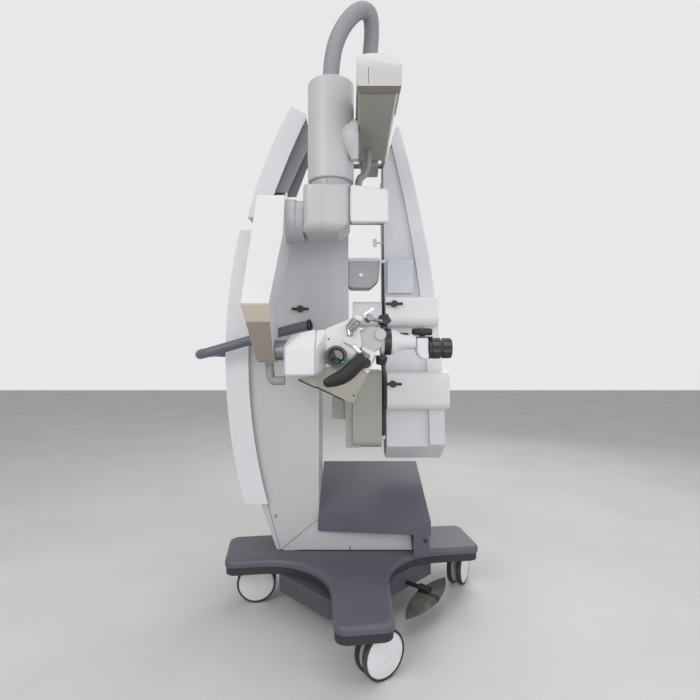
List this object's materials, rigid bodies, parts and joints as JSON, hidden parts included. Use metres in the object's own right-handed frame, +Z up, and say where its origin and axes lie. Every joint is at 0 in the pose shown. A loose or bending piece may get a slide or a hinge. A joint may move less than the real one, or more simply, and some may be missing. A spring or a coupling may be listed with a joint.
{
  "type": "surgical microscope on floor stand",
  "caption": "Floor-stand surgical microscope: slate cross base on twin casters, grey column, counterweighted lever, folding arms, optics head and bent grip.",
  "frame": {"origin": "on the floor under the middle of the machine's bounding box, taken without the two hoses and the hanging lead, inside the base between the four casters", "axes": "+Z up; +X to the right and +Y away from the viewer of the pictured view, so the folded optics head is on the -Y side of the column"},
  "size_m": [1.1236, 1.2104, 2.2471],
  "materials": {
    "slate_cover": "satin",
    "slate_casting": "satin paint",
    "dark_skirt": "matt",
    "slate_tube": "satin paint",
    "grey_housing": "satin",
    "grey_casting": "satin paint",
    "white_bow": "satin paint",
    "white_cover": "satin",
    "beige_plate": "matt paint",
    "dark_weight": "matt paint",
    "steel": "brushed",
    "chrome": "polished",
    "black_metal": "satin anodised",
    "black_plastic": "matt",
    "black_rubber": "matt",
    "grey_hose": "matt",
    "wheel": "satin",
    "lens_glass": "polished"
  },
  "bodies": {
    "stand": {"base_cover": "slate_cover", "base_skirt": "dark_skirt", "base_chassis": "slate_casting", "column_housing": "grey_housing", "foot_panel": "grey_housing", "weight_cover": "slate_cover", "left_lower_bow": "white_bow", "column_head": "grey_casting", "side_shelf": "grey_casting", "push_handle": "slate_tube"},
    "pedal": {"brake_pedal": "black_rubber"},
    "column_knob": {"clamp_knob_column": "black_plastic"},
    "upper_knob": {"clamp_knob_upper": "black_plastic"},
    "lower_knob": {"clamp_knob_lower": "black_plastic"},
    "lever": {"lever_plates": "grey_casting", "lever_shafts": "steel", "bow_brackets": "grey_casting", "left_upper_bow": "white_bow", "right_bow": "white_bow", "upper_weight": "white_cover", "lower_weight": "white_cover", "inner_weights": "dark_weight", "hanging_lead": "black_rubber"},
    "head": {"level_head": "grey_casting"},
    "link": {"level_link": "steel"},
    "upper_arm": {"arm_beam": "beige_plate", "arm_cap": "white_cover", "swivel_drum": "grey_housing", "hose_loop": "grey_hose"},
    "joint_housing": {"drum_spindle": "grey_casting", "joint_shells": "grey_housing", "joint_end_cap": "white_cover", "feed_hose": "grey_hose"},
    "swing_arm": {"swing_hub": "grey_casting", "swing_arm_shell": "white_cover", "wrist_hose": "grey_hose"},
    "carrier": {"wrist_pin": "steel", "drive_housing": "white_cover"},
    "scope": {"scope_body": "grey_casting", "scope_side_plate": "beige_plate", "optics_head": "grey_casting", "lens_tube": "black_metal", "front_lens": "lens_glass", "clamp_ring": "black_metal"},
    "iris_lever": {"chrome_lever": "chrome"},
    "grip": {"handgrip": "black_rubber"},
    "focus": {"focus_knob": "black_metal"},
    "zoom": {"zoom_knob": "black_plastic"},
    "observer": {"observer_tube": "white_bow"},
    "ocular": {"ocular_head": "white_bow"},
    "eyecup": {"eyepiece": "black_metal"},
    "disc": {"disc_knob": "black_plastic"},
    "caster_left": {"caster_housing_left": "grey_housing"},
    "wheels_left": {"caster_wheels_left": "wheel"},
    "caster_front": {"caster_housing_front": "grey_housing"},
    "wheels_front": {"caster_wheels_front": "wheel"},
    "caster_right": {"caster_housing_right": "grey_housing"},
    "wheels_right": {"caster_wheels_right": "wheel"},
    "caster_rear": {"caster_housing_rear": "grey_housing"},
    "wheels_rear": {"caster_wheels_rear": "wheel"}
  },
  "joints": [
    {"name": "caster_left_swivel", "type": "hinge", "parent": "stand", "child": "caster_left", "pos_m": [-0.3558, -0.05554, 0.15], "axis": [0, 0, 1], "continuous": true},
    {"name": "wheels_left_roll", "type": "hinge", "parent": "caster_left", "child": "wheels_left", "pos_m": [-0.32609, -0.05136, 0.075], "axis": [-0.1392, 0.9903, 0], "continuous": true},
    {"name": "caster_front_swivel", "type": "hinge", "parent": "stand", "child": "caster_front", "pos_m": [0.10731, -0.51253, 0.15], "axis": [0, 0, 1], "continuous": true},
    {"name": "wheels_front_roll", "type": "hinge", "parent": "caster_front", "child": "wheels_front", "pos_m": [0.13218, -0.49576, 0.075], "axis": [-0.5592, 0.829, 0], "continuous": true},
    {"name": "caster_right_swivel", "type": "hinge", "parent": "stand", "child": "caster_right", "pos_m": [0.48791, 0.06304, 0.15], "axis": [0, 0, 1], "continuous": true},
    {"name": "wheels_right_roll", "type": "hinge", "parent": "caster_right", "child": "wheels_right", "pos_m": [0.50199, 0.08952, 0.075], "axis": [-0.8829, 0.4695, 0], "continuous": true},
    {"name": "caster_rear_swivel", "type": "hinge", "parent": "stand", "child": "caster_rear", "pos_m": [-0.00293, 0.51614, 0.15], "axis": [0, 0, 1], "continuous": true},
    {"name": "wheels_rear_roll", "type": "hinge", "parent": "caster_rear", "child": "wheels_rear", "pos_m": [0.02526, 0.52639, 0.075], "axis": [-0.342, 0.9397, 0], "continuous": true},
    {"name": "pedal_rock", "type": "hinge", "parent": "stand", "child": "pedal", "pos_m": [0.32419, -0.1832, 0.104], "axis": [0.7771, -0.6293, 0], "range_deg": [-12, 12]},
    {"name": "column_knob_turn", "type": "hinge", "parent": "stand", "child": "column_knob", "pos_m": [-0.14981, -0.0802, 1.144], "axis": [0, 1, 0], "range_deg": [-90, 90]},
    {"name": "lever_tilt", "type": "hinge", "parent": "stand", "child": "lever", "pos_m": [0.06219, 0.1218, 1.54], "axis": [1, 0, 0], "range_deg": [-3, 14]},
    {"name": "upper_knob_turn", "type": "hinge", "parent": "lever", "child": "upper_knob", "pos_m": [0.21419, -0.0802, 1.164], "axis": [0, 1, 0], "range_deg": [-90, 90]},
    {"name": "lower_knob_turn", "type": "hinge", "parent": "lever", "child": "lower_knob", "pos_m": [0.20919, -0.0802, 0.852], "axis": [0, 1, 0], "range_deg": [-90, 90]},
    {"name": "head_level", "type": "hinge", "parent": "lever", "child": "head", "pos_m": [0.06219, 0.1218, 1.776], "axis": [1, 0, 0], "range_deg": [-14, 3]},
    {"name": "link_swing", "type": "hinge", "parent": "stand", "child": "link", "pos_m": [0.01819, 0.0438, 1.54], "axis": [1, 0, 0], "range_deg": [-3, 14]},
    {"name": "arm_swivel", "type": "hinge", "parent": "head", "child": "upper_arm", "pos_m": [0.12519, 0.0418, 1.776], "axis": [0, 0, 1], "range_deg": [-5, 20]},
    {"name": "drum_swivel", "type": "hinge", "parent": "upper_arm", "child": "joint_housing", "pos_m": [-0.02481, -0.2682, 1.64], "axis": [0, 0, 1], "range_deg": [-3, 15]},
    {"name": "swing_tilt", "type": "hinge", "parent": "joint_housing", "child": "swing_arm", "pos_m": [-0.14081, -0.2682, 1.434], "axis": [1, 0, 0], "range_deg": [-45, 4]},
    {"name": "carrier_level", "type": "hinge", "parent": "swing_arm", "child": "carrier", "pos_m": [-0.18481, -0.3402, 0.985], "axis": [1, 0, 0], "range_deg": [-4, 45]},
    {"name": "scope_tilt", "type": "hinge", "parent": "carrier", "child": "scope", "pos_m": [-0.06581, -0.3582, 0.947], "axis": [1, 0, 0], "range_deg": [-25, 25]},
    {"name": "iris_lever_turn", "type": "hinge", "parent": "scope", "child": "iris_lever", "pos_m": [0.05419, -0.4282, 0.996], "axis": [0, 1, 0], "range_deg": [-15, 15]},
    {"name": "grip_turn", "type": "hinge", "parent": "scope", "child": "grip", "pos_m": [0.07519, -0.4282, 0.968], "axis": [0, 1, 0], "range_deg": [-20, 45]},
    {"name": "focus_turn", "type": "hinge", "parent": "scope", "child": "focus", "pos_m": [0.13819, -0.4232, 1.036], "axis": [0, 1, 0], "range_deg": [-150, 150]},
    {"name": "zoom_turn", "type": "hinge", "parent": "scope", "child": "zoom", "pos_m": [0.09219, -0.4232, 0.946], "axis": [0, 1, 0], "range_deg": [-150, 150]},
    {"name": "observer_roll", "type": "hinge", "parent": "scope", "child": "observer", "pos_m": [0.17219, -0.3722, 1.014], "axis": [1, 0, 0], "range_deg": [-90, 90]},
    {"name": "ocular_roll", "type": "hinge", "parent": "observer", "child": "ocular", "pos_m": [0.25219, -0.3722, 1.014], "axis": [1, 0, 0], "range_deg": [-90, 90]},
    {"name": "eyecup_turn", "type": "hinge", "parent": "ocular", "child": "eyecup", "pos_m": [0.30219, -0.3722, 0.993], "axis": [1, 0, 0], "range_deg": [-150, 150]},
    {"name": "disc_turn", "type": "hinge", "parent": "ocular", "child": "disc", "pos_m": [0.27919, -0.3722, 1.045], "axis": [0, 0, 1], "range_deg": [-150, 150]}
  ],
  "couplings": [
    {"joint": "head_level", "follows": "lever_tilt", "ratio": -1},
    {"joint": "link_swing", "follows": "lever_tilt", "ratio": 1},
    {"joint": "carrier_level", "follows": "swing_tilt", "ratio": -1}
  ]
}
